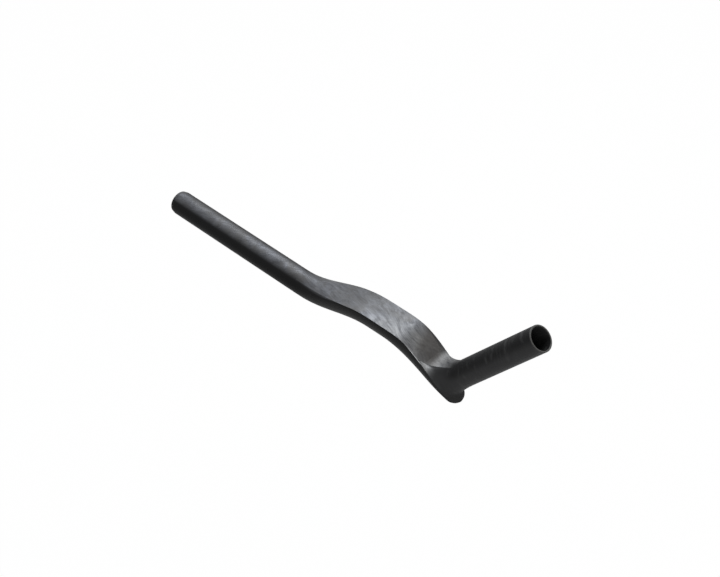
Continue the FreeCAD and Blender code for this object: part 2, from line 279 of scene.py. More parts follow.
# Distances ahead of the shank, and heights over its axis, that fix how the arm runs.
WIDEN_LENGTH = 0.062
CREASE_ANGLE = math.radians(45.0)
SIDE_BULGE = 0.0002
SIDE_RISE = 0.0015
TOP_CROWN = 0.0003
BELLY_START, BELLY_RISE_LENGTH, BELLY_CREST = 0.006, 0.078, 0.0048
BELLY_DROP_START, BELLY_DROP_LENGTH, SOLE_DEPTH = 0.100, 0.066, 0.0180
KNEE_REACH, KNEE_HEIGHT, KNEE_GRADE = 0.120, 0.0235, 0.2
KNEE_EASE, BELLY_EASE, EDGE_EASE = 0.006, 0.0006, 0.002
FOOT_REACH, FOOT_DEPTH, FOOT_GRADE = 0.174, 0.0155, 0.6
FOOT_DRIFT, DRIFT_START, DRIFT_LENGTH = 0.0033, 0.097, 0.063
LIP_THICKNESS, LIP_MIDDLE, LIP_CENTRE_REACH = 0.0019, 0.0018, 0.1688
LIP_SPREAD_IN, LIP_SPREAD_OUT = math.radians(20.0), math.radians(8.0)
TIP_START, TIP_LENGTH, TIP_ROUNDING = 0.1752, 0.0022, 0.0006
DISH_START, DISH_LENGTH = 0.120, 0.032
DISH_END_START, DISH_END_LENGTH = 0.154, 0.014
WING_START, WING_LENGTH, WING_EDGE = 0.138, 0.017, 0.0010
FOOT_START, FOOT_LENGTH = 0.125, 0.020
FLOOR_END, FLOOR_SAG = 0.0030, 0.0003
LAST_HOLLOW_REACH = 0.159
DISH_EASE, RISE_LIMIT, FULL_SPREAD, LEAST_GAP = 0.25, 0.45, 0.999, 0.00002

# Points of the arm's grids along it and across it, outside and inside, the share of the rows that
# reach to the lip's centre, and the width of each map with where it starts.
ARM_ROWS, UNDER_COLUMNS, TOP_COLUMNS = 281, 97, 57
HOLLOW_ROWS, HOLLOW_UNDER_COLUMNS, HOLLOW_TOP_COLUMNS = 81, 33, 17
TIP_SHARE = 0.92
UNDER_MAP, TOP_MAP, HOLLOW_MAP_WIDTH = (0.058, 0.01385), (0.0277, -0.01385), 0.04

# The finish is worked out in millimetres, and its clear coat reflects little head-on.
MILLIMETRES, COAT_LEVEL = 1000.0, 0.03

# Upward shares of the normal between which the painted sheen, a bright metallic upper side, comes up.
SHANK_PAINTED_SHEEN, ARM_PAINTED_SHEEN, GRIP_PAINTED_SHEEN = (0.72, 1.00), (0.35, 0.80), (0.70, 0.96)
PAINTED_SHEEN_TILT = 0.15

# Layers of strands: turn from the common angle in degrees, cells across and along a millimetre.
STRAND_TURN, STRAND_BEND = -24.0, 14.0
BUNDLES, HAIRS, CROSS_HAIRS = (0.0, 0.22, 0.032), (5.0, 1.5, 0.045), (62.0, 1.3, 0.06)
SMEARS = (108.0, 0.34, 0.05)

# The matt foot begins at a line from the outboard crease to the grip's root, all in millimetres:
# the painted sheen stops there, and a thin painted shade runs along it.
MATT_LINE_ACROSS, MATT_LINE_AHEAD, MATT_LINE_RUN, MATT_LINE_FALL = 1.2, 322.0, 22.0, 9.4
MATT_EDGE, CREASE_SHADE_WIDTH = (-0.2, 0.6), (0.10, 0.30)
# The matt tone of the foot and grip, and how much brighter the painted highlight on the crease is than the
# wing's.
MATT_TONE, CREASE_HIGHLIGHT_TONE = 4.3, 1.8

# Masks of the finish and of the painted shade and highlights along the part, in millimetres ahead of
# its rear end: where they start and how long they take to rise, and for those that end, where they
# begin to fall and how long that takes.
ARM_ZONE, GRIP_ZONE, MATT_ZONE, STRAW_ZONE = (158.0, 50.0), (308.0, 8.0), (318.0, 8.0), (240.0, 50.0)
CREASE_SHADE_RUN, WING_HIGHLIGHT_RUN = (297.0, 3.0, 318.0, 5.0), (298.5, 1.5, 302.0, 14.0)
CREASE_HIGHLIGHT_RUN, STEEP_SHADE_RUN = (283.0, 10.0, 300.0, 3.0), (287.0, 7.0, 304.0, 9.0)

# The same across it, up it, round its section, and over the upward share of the normal.
WING_HIGHLIGHT_ACROSS, STEEP_SHADE_ACROSS, STEEP_SHADE_SLANT, STRAW_SLANT = (2.2, 4.6), (-14.0, 16.0), 0.35, 1.2
UPPER_SHADE_HEIGHT, UPPER_SHADE_UPWARD, WING_HIGHLIGHT_UPWARD = (-1.0, 12.0), (0.18, 0.40), (0.45, 0.40)
CREASE_HIGHLIGHT_TOP, CREASE_HIGHLIGHT_SIDE = (13.2, 0.45), (70.4, 0.8)

# The grip's root: how far from the axis it lands on the foot, and how high it starts to swell.
LAND_INBOARD, LAND_OUTBOARD, LAND_REAR, LAND_FRONT = 0.0130, 0.0146, 0.0240, 0.0143
LAND_POWER_FRONT, LAND_POWER_REAR, LAND_TURN_START, LAND_TURN_LENGTH = 2.2, 6.0, -0.5, 1.2
SEAT_CLEAR, SEAT_SEARCH, SEAT_FACING, SEAT_STEP = 0.05, 0.10, 0.25, 0.0001
ROOT_HEIGHT_FRONT, ROOT_HEIGHT_REAR = 0.0215, 0.0200
BLEND_FULLNESS = 0.52
SLOPE_STEP = 0.0005
WALL_ROWS, ROOT_ROWS, DRAPE_COLUMNS = 60, 40, 192
TURNED_COLUMNS, BORE_ROWS = 144, 40
BORE_LENGTH, OPEN_FROM, OPEN_TO = 0.113, 0.090, 0.1155
RIM_EDGE = 0.00055
SKIN_SINK = 0.00005
TUCK_DEPTH, TUCK_INWARD, TUCK_START, TUCK_EASE = 0.0011, 0.0020, 0.80, 0.0004

# The shank's rear end: the bends of its taper and of its rounded edge.
NOSE_BEND, NOSE_BEND_STEP, REAR_EDGE, REAR_EDGE_STEP = 0.0008, 0.0002, 0.00025, 0.00006
SHANK_ROWS, SHANK_BORE_ROWS = 60, 40

# The studio: how white the floor shows, its own tone, and the light that the world gives.
FLOOR_HALF, FLOOR_WHITE, FLOOR_TONE, WORLD_FILL = 6.0, 0.985, 0.8, 0.45
WHITE = (1.0, 1.0, 1.0, 1.0)


def bare_graph(owner):
    """The node graph of a material or a world, without the nodes that it starts with."""
    owner.use_nodes = True
    owner.node_tree.nodes.clear()
    return Graph(owner.node_tree)


def plain_mesh(item):
    """Turn an object's modifiers into its own plain mesh."""
    depsgraph = bpy.context.evaluated_depsgraph_get()
    mesh = bpy.data.meshes.new_from_object(item.evaluated_get(depsgraph))
    mesh.name = item.name
    item.modifiers.clear()
    item.data = mesh


def add_object(name, mesh):
    item = bpy.data.objects.new(name, mesh)
    bpy.context.scene.collection.objects.link(item)
    return item


def add_modifier(item, tree, **inputs):
    """Put a geometry tree on an object, with inputs given by their names in lower case."""
    modifier = item.modifiers.new(tree.name, "NODES")
    modifier.node_group = tree
    for socket in tree.interface.items_tree:
        key = socket.name.lower().replace(" ", "_")
        if socket.in_out == "INPUT" and key in inputs:
            modifier[socket.identifier] = inputs[key]


def new_tree(name, numbers):
    """A geometry tree with the named numbers and a Finish as inputs, and its sockets by name."""
    tree = bpy.data.node_groups.new(name, "GeometryNodeTree")
    tree.interface.new_socket("Geometry", in_out="OUTPUT", socket_type="NodeSocketGeometry")
    for label, default in numbers.items():
        socket = tree.interface.new_socket(label, in_out="INPUT", socket_type="NodeSocketFloat")
        socket.default_value = default
    tree.interface.new_socket("Finish", in_out="INPUT", socket_type="NodeSocketMaterial")
    graph = Graph(tree)
    source = graph.node("NodeGroupInput")
    values = {label: graph.value(source.outputs[label]) for label in numbers}
    values["Finish"] = source.outputs["Finish"]
    return graph, values


def end_tree(graph, parts, finish):
    """Join the parts, realise them, smooth them and give them their material."""
    joined = graph.node("GeometryNodeJoinGeometry")
    for part in parts:
        graph.tree.links.new(part, joined.inputs[0])
    real = graph.node("GeometryNodeRealizeInstances", None, {"Geometry": joined.outputs[0]})
    smooth = graph.node("GeometryNodeSetShadeSmooth", None, {"Geometry": real.outputs[0]})
    painted = graph.node("GeometryNodeSetMaterial", None, {"Geometry": smooth.outputs[0], "Material": finish})
    graph.node("NodeGroupOutput", None, {"Geometry": painted.outputs[0]})


def shaped_grid(graph, across_count, along_count, place, chart, flip=False):
    """A unit grid whose points go to place, with a map in metres from chart."""
    grid = graph.node("GeometryNodeMeshGrid", None, {
        "Size X": 1.0, "Size Y": 1.0, "Vertices X": across_count, "Vertices Y": along_count})
    mapped = graph.node("GeometryNodeStoreNamedAttribute", {"data_type": "FLOAT2", "domain": "CORNER"}, {
        "Geometry": grid.outputs["Mesh"], "Name": "UVMap", "Value": graph.join(*chart, 0.0)})
    placed = graph.node("GeometryNodeSetPosition", None, {
        "Geometry": mapped.outputs[0], "Position": graph.join(*place)})
    if flip:
        placed = graph.node("GeometryNodeFlipFaces", None, {"Mesh": placed.outputs[0]})
    return placed.outputs[0]


def hermite(graph, reach, start, start_height, start_grade, end, end_height, end_grade):
    """Cubic between two points with given slopes."""
    span = end - start
    share = (reach - start) / span
    blend = share * share * (3.0 - share * 2.0)
    rest = 1.0 - share
    leave = share * rest * rest * span * start_grade
    arrive = share * share * (share - 1.0) * span * end_grade
    return (end_height - start_height) * blend + start_height + leave + arrive


def top_line(graph, sizes, reach):
    """Height and grade of the two top edges, evened out a little so that reflections run through the knee."""
    before, here, after = (drawn_height(graph, sizes, reach + step) for step in (-KNEE_EASE, 0.0, KNEE_EASE))
    return (before + after) * 0.25 + here * 0.5, (after - before) / (2.0 * KNEE_EASE)


def drawn_height(graph, sizes, reach):
    """Height of the two top edges: the rise to the crest, then the fall to the foot."""
    crease = sizes["Tube Radius"] * math.sin(CREASE_ANGLE)
    crest = sizes["Crest Height"]
    crest_end = sizes["Rise Length"]
    rise = (crest - crease) * graph.ease(reach, 0.0, crest_end) + crease
    shoulder = hermite(graph, reach, crest_end, crest, 0.0, KNEE_REACH, KNEE_HEIGHT, -KNEE_GRADE)
    fall = hermite(graph, reach, KNEE_REACH, KNEE_HEIGHT, -KNEE_GRADE, FOOT_REACH, -FOOT_DEPTH, -FOOT_GRADE)
    lip = (reach - FOOT_REACH) * -FOOT_GRADE - FOOT_DEPTH
    fall = graph.pick(reach > FOOT_REACH, lip, fall)
    shoulder = graph.pick(reach > KNEE_REACH, fall, shoulder)
    return graph.pick(reach > crest_end, shoulder, rise)


def arm_section(graph, sizes, reach, skin):
    """Measures of the arm's section at reach, taken in by skin all round."""
    radius = sizes["Tube Radius"]
    spread = graph.ease(reach, 0.0, WIDEN_LENGTH)
    round_share = 1.0 - spread
    half_width = sizes["Strip Width"] * 0.5
    top, grade = top_line(graph, sizes, reach)
    upright = (grade * grade + 1.0).sqrt() * skin
    crease = radius * math.cos(CREASE_ANGLE) * round_share + half_width * spread
    widest = radius * round_share + (half_width + SIDE_BULGE) * spread
    belly = BELLY_CREST + radius
    belly = belly * graph.ease(reach, BELLY_START, BELLY_RISE_LENGTH) - radius
    belly = belly - graph.ease(reach, BELLY_DROP_START, BELLY_DROP_LENGTH) * (BELLY_CREST + SOLE_DEPTH)
    lip_height = LIP_THICKNESS * math.hypot(1.0, FOOT_GRADE)
    lip_height = lip_height - graph.ease(reach, TIP_START, TIP_LENGTH) * TIP_ROUNDING
    belly = belly.math("SMOOTH_MIN", top - lip_height, BELLY_EASE)
    rise = radius * math.sin(CREASE_ANGLE) * round_share + SIDE_RISE * spread
    rise = rise.math("MINIMUM", (top - belly) * RISE_LIMIT)
    crown = radius * (1.0 - math.sin(CREASE_ANGLE)) * round_share + TOP_CROWN * spread
    shrink = 1.0 - skin / radius
    level = top - rise - upright * spread
    middle = graph.ease(reach, DRIFT_START, DRIFT_LENGTH) * FOOT_DRIFT

    # The foot's egg-shaped outline closes in on the arm's sides and ends them at the tip.
    lip = sizes["Lip Radius"]
    forward = (reach - LIP_CENTRE_REACH) * math.hypot(1.0, FOOT_GRADE)
    arc = (lip * lip - forward * forward).sqrt()
    edges = []
    for side, spread_angle in ((1.0, LIP_SPREAD_IN), (-1.0, LIP_SPREAD_OUT)):
        tangent = (lip - forward * math.sin(spread_angle)) / math.cos(spread_angle)
        egg = graph.pick(forward > lip * math.sin(spread_angle), arc, tangent) + LIP_MIDDLE * side
        arm_edge = crease + middle * side
        edges.append(egg.math("SMOOTH_MIN", arm_edge, EDGE_EASE))
    foot = graph.ease(reach, FOOT_START, FOOT_LENGTH)
    crease = graph.pick(foot, (edges[0] + edges[1]) * 0.5, crease)
    middle = graph.pick(foot, (edges[0] - edges[1]) * 0.5, middle)
    bulge = (widest - half_width) * round_share + SIDE_BULGE * spread
    widest = graph.pick(spread > FULL_SPREAD, crease + bulge, widest)

    wing_room = crease * shrink - (0.5 * FLOOR_END + WING_EDGE)
    wing = graph.ease(reach, WING_START, WING_LENGTH) * wing_room + WING_EDGE
    dish = graph.ease(reach, DISH_START, DISH_LENGTH) - graph.ease(reach, DISH_END_START, DISH_END_LENGTH)
    return {
        "middle": middle,
        "crease": crease * shrink,
        "widest": (widest - skin).math("MAXIMUM", crease * shrink + LEAST_GAP),
        "level": level,
        "rise": rise * (shrink * round_share + spread),
        "depth": level - belly - upright,
        "crown": crown * shrink,
        "wing": wing,
        "dish": dish * sizes["Dish Depth"],
        "sag": dish * FLOOR_SAG,
    }


def tip_run(graph, sizes, along):
    """Distance ahead of the shank: even to the lip's centre, then round the tip's arc."""
    lip_reach = sizes["Lip Radius"] / math.hypot(1.0, FOOT_GRADE)
    body = along / TIP_SHARE * LIP_CENTRE_REACH
    turn = (along - TIP_SHARE) / (1.0 - TIP_SHARE) * (0.5 * math.pi)
    return graph.pick(along > TIP_SHARE, turn.math("SINE") * lip_reach + LIP_CENTRE_REACH, body)


def arm_under(graph, sizes, form, reach, across):
    """Sides and belly of the section, swept from one crease under to the other."""
    turn = (form["crease"] / form["widest"]).math("MINIMUM", 1.0).math("ARCCOSINE")
    angle = turn - across * (turn * 2.0 + math.pi)
    sine = angle.math("SINE")
    arch = form["rise"] / turn.math("SINE").math("MAXIMUM", 0.0001)
    height = graph.pick(sine > 0.0, arch, form["depth"])
    x = angle.math("COSINE") * form["widest"] + form["middle"]
    return [x, -(reach + sizes["Shank Length"]), sine * height + form["level"]]


def arm_top(graph, sizes, form, reach, across):
    """The flat top between its two edges, with its sunk floor and the sloping wings beside it."""
    side = across * 2.0 - 1.0
    crown = (1.0 - side * side) * form["crown"]
    sunk = ((1.0 - abs(side)) * form["crease"] / form["wing"]).math("SMOOTH_MIN", 1.0, DISH_EASE)
    off_middle = (abs(side) * form["crease"] / (form["crease"] - form["wing"])).math("MINIMUM", 1.0)
    sag = (1.0 - off_middle * off_middle) * form["sag"]
    z = form["level"] + form["rise"] + crown - sunk * form["dish"] - sag
    return [side * form["crease"] + form["middle"], -(reach + sizes["Shank Length"]), z]


def arm_tree():
    """The moulded arm: an outer and an inner skin, each of a swept under side and a flat top."""
    graph, sizes = new_tree("moulded_arm", {
        "Tube Radius": 0.0111, "Wall": 0.0015, "Shank Length": 0.158, "Crest Height": 0.0252,
        "Rise Length": 0.087, "Strip Width": 0.0277, "Dish Depth": 0.0026, "Lip Radius": 0.010})
    x, y, _ = graph.split(graph.node("GeometryNodeInputPosition").outputs[0])
    across, along = x + 0.5, y + 0.5
    parts = []
    reach = tip_run(graph, sizes, along)
    form = arm_section(graph, sizes, reach, 0.0)
    for maker, count, (width, start) in ((arm_under, UNDER_COLUMNS, UNDER_MAP),
                                         (arm_top, TOP_COLUMNS, TOP_MAP)):
        place = maker(graph, sizes, form, reach, across)
        chart = [across * width + start, -reach]
        parts.append(shaped_grid(graph, count, ARM_ROWS, place, chart, True))
    reach = along * LAST_HOLLOW_REACH
    form = arm_section(graph, sizes, reach, sizes["Wall"])
    for maker, count in ((arm_under, HOLLOW_UNDER_COLUMNS), (arm_top, HOLLOW_TOP_COLUMNS)):
        place = maker(graph, sizes, form, reach, across)
        chart = [across * HOLLOW_MAP_WIDTH, -reach]
        parts.append(shaped_grid(graph, count, HOLLOW_ROWS, place, chart))
    end_tree(graph, parts, sizes["Finish"])
    return graph.tree


def skin_mesh(name, vertices, faces, chart):
    """A smooth mesh whose chart, in metres, lies on its corners as UVMap."""
    mesh = bpy.data.meshes.new(name)
    mesh.from_pydata(vertices, [], faces)
    layer = mesh.uv_layers.new(name="UVMap")
    for loop, spot in zip(layer.data, chart):
        loop.uv = spot
    mesh.polygons.foreach_set("use_smooth", [True] * len(mesh.polygons))
    mesh.update()
    return mesh


def turned_mesh(name, profile, count, place):
    """A profile of (radius, distance) pairs turned once round the local Z axis, then put in place."""
    vertices, faces, chart = [], [], []
    run = [0.0]
    for (r0, z0), (r1, z1) in zip(profile, profile[1:]):
        run.append(run[-1] + math.hypot(r1 - r0, z1 - z0))
    for radius, distance in profile:
        for step in range(count):
            turn = 2.0 * math.pi * step / count
            vertices.append(place @ Vector((radius * math.cos(turn), radius * math.sin(turn), distance)))
    widest = max(radius for radius, _ in profile)
    for ring in range(len(profile) - 1):
        for step in range(count):
            after = (step + 1) % count
            faces.append((ring * count + step, ring * count + after,
                          (ring + 1) * count + after, (ring + 1) * count + step))
            for column, row in ((step, ring), (step + 1, ring), (step + 1, ring + 1), (step, ring + 1)):
                chart.append((2.0 * math.pi * widest * column / count, run[row]))
    return skin_mesh(name, vertices, faces, chart)


def rounded(start, corner, end, steps=4):
    """Points along a smooth bend from start past corner to end."""
    points = []
    for step in range(steps + 1):
        share = step / steps
        points.append(tuple((1 - share) ** 2 * a + 2 * share * (1 - share) * b + share ** 2 * c
                            for a, b, c in zip(start, corner, end)))
    return points


def even(start, end, count):
    return [tuple(a + (b - a) * step / count for a, b in zip(start, end)) for step in range(count + 1)]


def grip_frame(sizes):
    """Matrix whose axes are inboard, rear and out of the grip's mouth, at the mouth's centre."""
    level = math.cos(sizes.grip_lift)
    out = Vector((math.sin(sizes.grip_lean) * level, -math.cos(sizes.grip_lean) * level,
                  math.sin(sizes.grip_lift)))
    inboard = (Vector((1, 0, 0)) - out * out.x).normalized()
    turn = Matrix((inboard, out.cross(inboard), out)).transposed().to_4x4()
    return Matrix.Translation(Vector(sizes.mouth)) @ turn


def landing_radius(turn):
    """How far from its axis the grip's root may spread, at a turn from inboard towards the rear."""
    cosine, sine = math.cos(turn), math.sin(turn)
    reach_across = LAND_INBOARD if cosine > 0.0 else LAND_OUTBOARD
    reach_along = LAND_REAR if sine > 0.0 else LAND_FRONT
    share = min(max((sine - LAND_TURN_START) / LAND_TURN_LENGTH, 0.0), 1.0)
    power = LAND_POWER_FRONT + (LAND_POWER_REAR - LAND_POWER_FRONT) * share * share * (3.0 - 2.0 * share)
    return (abs(cosine / reach_across) ** power + abs(sine / reach_along) ** power) ** (-1.0 / power)


def averaged(values, width):
    """Values round a ring, each the mean of its neighbours up to width away."""
    count = len(values)
    spread = range(-width, width + 1)
    return [sum(values[(index + step) % count] for step in spread) / len(spread) for index in range(count)]


def draped_root(seat, place, count):
    """Where the grip's wall lands on the seat, for each turn: radius, depth below the mouth, slope."""
    mesh = bmesh.new()
    mesh.from_mesh(seat.data)
    tree = BVHTree.FromBMesh(mesh)
    mesh.free()
    out = place.to_3x3() @ Vector((0.0, 0.0, 1.0))

    def ground(turn, radius):
        """Depth at which the seat's upper side lies under the wall, or None."""
        start = place @ Vector((radius * math.cos(turn), radius * math.sin(turn), -SEAT_CLEAR))
        spot, normal, _, distance = tree.ray_cast(start, -out, SEAT_SEARCH)
        if spot is None or normal.dot(out) < SEAT_FACING:
            return None
        return distance + SEAT_CLEAR

    landings = []
    for step in range(count):
        turn = 2.0 * math.pi * step / count
        radius = landing_radius(turn)
        while ground(turn, radius) is None:
            radius -= SEAT_STEP
        landings.append((turn, radius))
    smooth = averaged([radius for _, radius in landings], 2)
    found = []
    for (turn, limit), radius in zip(landings, smooth):
        radius = min(radius, limit)
        depth = ground(turn, radius)
        while depth is None:
            radius -= SEAT_STEP
            depth = ground(turn, radius)
        nearer = ground(turn, radius - SLOPE_STEP)
        found.append((turn, radius, depth, (depth - nearer) / SLOPE_STEP))
    slopes = averaged([slope for *_, slope in found], 3)
    return [(turn, radius, depth, slope) for (turn, radius, depth, _), slope in zip(found, slopes)]


def cubic(points, share):
    """Point of a cubic curve given by its four control points."""
    a, b, c, d = points
    rest = 1.0 - share
    weights = (rest ** 3, 3.0 * rest * rest * share, 3.0 * rest * share * share, share ** 3)
    return tuple(sum(w * p[axis] for w, p in zip(weights, (a, b, c, d))) for axis in range(2))


def wall_profile(radius, turn, landing, ground, slope):
    """The wall's line at one turn as (radius, depth) pairs, from the rim down to where it lands."""
    lean = max(math.sin(turn), 0.0)
    height = ROOT_HEIGHT_FRONT + (ROOT_HEIGHT_REAR - ROOT_HEIGHT_FRONT) * lean * lean
    tucked = min(max(radius + TUCK_EASE - landing, 0.0) / TUCK_EASE, 1.0)
    foot = ground + SKIN_SINK + tucked * TUCK_DEPTH
    start = foot - height
    points = even((radius, RIM_EDGE), (radius, start), WALL_ROWS)
    width = landing - radius
    flow = ((radius, start), (radius, start + BLEND_FULLNESS * (height - slope * width)),
            (landing - BLEND_FULLNESS * width, foot - slope * BLEND_FULLNESS * width), (landing, foot))
    for row in range(1, ROOT_ROWS + 1):
        share = row / ROOT_ROWS
        spread, depth = cubic(flow, share)
        late = max(share - TUCK_START, 0.0) / (1.0 - TUCK_START)
        inward = min(landing - TUCK_INWARD - radius, 0.0)
        plain = radius + inward * (1.0 - math.sqrt(max(1.0 - late * late, 0.0)))
        points.append((spread + (plain - spread) * tucked, depth + (start + height * share - depth) * tucked))
    return points


def draped_mesh(name, seat, place, radius, count):
    """The grip's outer wall: a straight tube whose root swells and lands on the seat.

    Where the seat is narrower than the tube, the wall runs down past it and is turned in under it.
    """
    columns = [wall_profile(radius, *landing) for landing in draped_root(seat, place, count)]
    rows = len(columns[0])
    vertices, faces, chart = [], [], []
    for row in range(rows):
        for step, column in enumerate(columns):
            spread, depth = column[row]
            turn = 2.0 * math.pi * step / count
            vertices.append(place @ Vector((spread * math.cos(turn), spread * math.sin(turn), -depth)))
    for row in range(rows - 1):
        for step in range(count):
            after = (step + 1) % count
            faces.append((row * count + step, (row + 1) * count + step,
                          (row + 1) * count + after, row * count + after))
            for place_across, ring, column in ((step, row, step), (step, row + 1, step),
                                               (step + 1, row + 1, after), (step + 1, row, after)):
                chart.append((2.0 * math.pi * radius * place_across / count, -columns[column][ring][1]))
    return skin_mesh(name, vertices, faces, chart)


def strands(graph, bent, layer, detail=3.0):
    """Noise drawn out into strands, from a layer's turn and its cells across and along a millimetre."""
    turn, across, along = layer
    turned = graph.node("ShaderNodeMapping", {"vector_type": "TEXTURE"}, {
        "Vector": bent, "Rotation": (0.0, 0.0, math.radians(STRAND_TURN + turn)),
        "Scale": (1.0 / across, 1.0 / along, 1.0)})
    return graph.noise(turned.outputs[0], 1.0, detail, 0.6, 0.2)


def foot_masks(graph, around, ahead, x, upward):
    """Masks of the matt foot, the painted shade along its line, the painted highlights on the wing and
    the outboard crease, and the painted shade on the steep part.
    """
    bend = ((ahead - MATT_LINE_AHEAD) / MATT_LINE_RUN).math("MINIMUM", 0.0)
    past_line = MATT_LINE_ACROSS - bend * bend * MATT_LINE_FALL - x
    past = graph.ease(past_line, *MATT_EDGE)
    # Matt foot and grip: past the line the painted sheen is switched off.
    matt_painted_sheen_off = past.math("MAXIMUM", graph.ease(ahead, *MATT_ZONE))
    # Painted shade: a thin dark line along the crease where the foot's line runs.
    painted_crease_shade = (1.0 - graph.ease(abs(past_line), *CREASE_SHADE_WIDTH)) * graph.span(ahead, *CREASE_SHADE_RUN)
    # Painted highlight on the wing where it faces up.
    wing = graph.ease(-x, *WING_HIGHLIGHT_ACROSS) * graph.span(ahead, *WING_HIGHLIGHT_RUN) * graph.ease(upward, *WING_HIGHLIGHT_UPWARD)
    # Painted highlight: a thin bright line along the outboard crease at the foot.
    crease_highlight = graph.ease(-around, *CREASE_HIGHLIGHT_TOP).math("MAXIMUM", graph.ease(around, *CREASE_HIGHLIGHT_SIDE))
    crease_highlight = crease_highlight * graph.span(ahead, *CREASE_HIGHLIGHT_RUN)
    # Painted shade: a band across the steep part is darkened.
    painted_steep_shade = graph.span(ahead + x * STEEP_SHADE_SLANT, *STEEP_SHADE_RUN) * graph.ease(x, *STEEP_SHADE_ACROSS)
    return matt_painted_sheen_off, painted_crease_shade, (wing * past).math("MAXIMUM", crease_highlight), crease_highlight, painted_steep_shade


def carbon_material(name, resin, gloss, rings):
    """Clear-coated carbon: hair-like strands at two angles, blotches of resin, dust, and painted light.

    The painted sheen is full where the surface looks up, and fades out towards the under side
    between two upward shares of the normal, which differ on shank, arm and grip: the upper side is
    painted bright and metallic, and the sides and belly stay dark. The foot and the grip are matt past
    a line drawn with a thin painted shade, where the wing and the crease beside it carry painted
    highlights. The steep part carries a painted shade, the matt foot is painted darker where it faces
    sideways or down, and the grip root is painted darker where it faces up. The tone of the plain
    sides is resin, gloss is the roughness, and rings adds wrap marks and smears.
    """
    finish = bpy.context.scene.extension_finish
    material = bpy.data.materials.new(name)
    graph = bare_graph(material)
    chart = graph.scaled(graph.node("ShaderNodeUVMap", {"uv_map": "UVMap"}).outputs[0], MILLIMETRES)
    millimetres = graph.scaled(graph.node("ShaderNodeTexCoord").outputs["Object"], MILLIMETRES)

    # Slow waves bend the strands, so that they lie in arcs as hand-laid cloth does.
    swirl = graph.node("ShaderNodeTexNoise", None, {"Vector": chart, "Scale": 0.028, "Detail": 1.0})
    bent = graph.vector_math("ADD", chart, graph.scaled(swirl.outputs["Color"], STRAND_BEND))
    bundle = strands(graph, bent, BUNDLES, 2.0)
    hair = strands(graph, bent, HAIRS)
    lay = bundle * 0.45 + hair * 0.40 + strands(graph, bent, CROSS_HAIRS) * 0.15
    lay = lay.above(0.37, 3.4)
    blotch = graph.noise(millimetres, 0.045, 3.0, 0.55, 0.6)
    cloud = blotch.above(0.42, 5.0)
    mottle = graph.noise(millimetres, 0.5, 4.0, 0.6)

    # Painted sheen: what faces up is painted bright and metallic; sides and belly stay plain dark resin.
    normal_x, _, normal_z = graph.split(graph.node("ShaderNodeNewGeometry").outputs["Normal"])
    upward = normal_z - normal_x * PAINTED_SHEEN_TILT
    x, y, z = graph.split(millimetres)
    ahead = -y
    arm, grip = graph.ease(ahead, *ARM_ZONE), graph.ease(ahead, *GRIP_ZONE)
    low, high = (graph.pick(grip, front, graph.pick(arm, middle, rear))
                 for rear, middle, front in zip(SHANK_PAINTED_SHEEN, ARM_PAINTED_SHEEN, GRIP_PAINTED_SHEEN))
    matt_painted_sheen_off, painted_crease_shade, painted_highlight, crease_highlight, painted_steep_shade = foot_masks(graph, graph.split(chart)[0], ahead, x, upward)
    painted_sheen = graph.ease(upward, low, high - low) * (1.0 - matt_painted_sheen_off)
    painted_sheen = painted_sheen.math("MAXIMUM", painted_highlight) * (1.0 - painted_crease_shade * 0.7)

    def tone(colour, factor=1.0):
        return (*(factor * channel for channel in colour), 1.0)

    straw = graph.ease(ahead - x * STRAW_SLANT, *STRAW_ZONE)
    # The strands' colour, with the painted steep shade and the painted highlights mixed in.
    cloth_with_painted_light = tone(finish.carbon)
    for share, over in (
            (lay, tone(finish.fibre)), (cloud * 0.45, tone(finish.warm)),
            (straw * lay * 0.7, tone(finish.straw)), (painted_steep_shade * 0.7, tone(finish.painted_steep_shade)),
            (painted_highlight * 0.9, tone(finish.painted_highlight)), (crease_highlight * 0.9, tone(finish.painted_highlight, CREASE_HIGHLIGHT_TONE))):
        cloth_with_painted_light = graph.mix(share, cloth_with_painted_light, over)
    # Painted shade: on the matt foot only the upward-facing side takes the lighter matt tone; sides and under
    # side keep the darker resin.
    ground = matt_painted_sheen_off * graph.ease(upward, 0.0, 0.4)
    ground = graph.mix(ground, tone(finish.resin, resin), tone(finish.resin, MATT_TONE))
    # Painted shade: the upward-facing side of the matt grip root is darkened back to plain resin.
    painted_upper_shade = graph.ease(upward, *UPPER_SHADE_UPWARD) * graph.ease(z, *UPPER_SHADE_HEIGHT) * matt_painted_sheen_off
    ground = graph.mix(painted_upper_shade * 0.85, ground, tone(finish.resin))
    colour = graph.mix(painted_sheen, ground, cloth_with_painted_light)
    dust = tone(finish.dust)
    if rings:
        wrap = graph.node("ShaderNodeTexWave", {"wave_type": "BANDS", "bands_direction": "Y"}, {
            "Vector": bent, "Scale": 0.04, "Distortion": 9.0, "Detail": 3.0, "Detail Scale": 0.35})
        patch = graph.noise(millimetres, 0.11).above(0.50, 7.0)
        colour = graph.mix(graph.value(wrap.outputs[1]) ** 3.0 * patch * 0.35, colour, dust)
        smear = strands(graph, bent, SMEARS).above(0.50, 5.0)
        colour = graph.mix(smear * (cloud * 0.16 + 0.06), colour, dust)
    speck = graph.node("ShaderNodeTexVoronoi", {"feature": "F1"}, {"Vector": millimetres, "Scale": 0.2})
    spot = ((0.12 - graph.value(speck.outputs["Distance"])) * 14.0).clamp()
    spot = spot * graph.noise(millimetres, 0.08).above(0.52, 12.0)
    colour = graph.mix(spot * 0.5, colour, dust)

    relief = hair * 0.3 + mottle * 0.7
    bump = graph.node("ShaderNodeBump", None, {"Strength": 0.05, "Distance": 0.0003, "Height": relief})
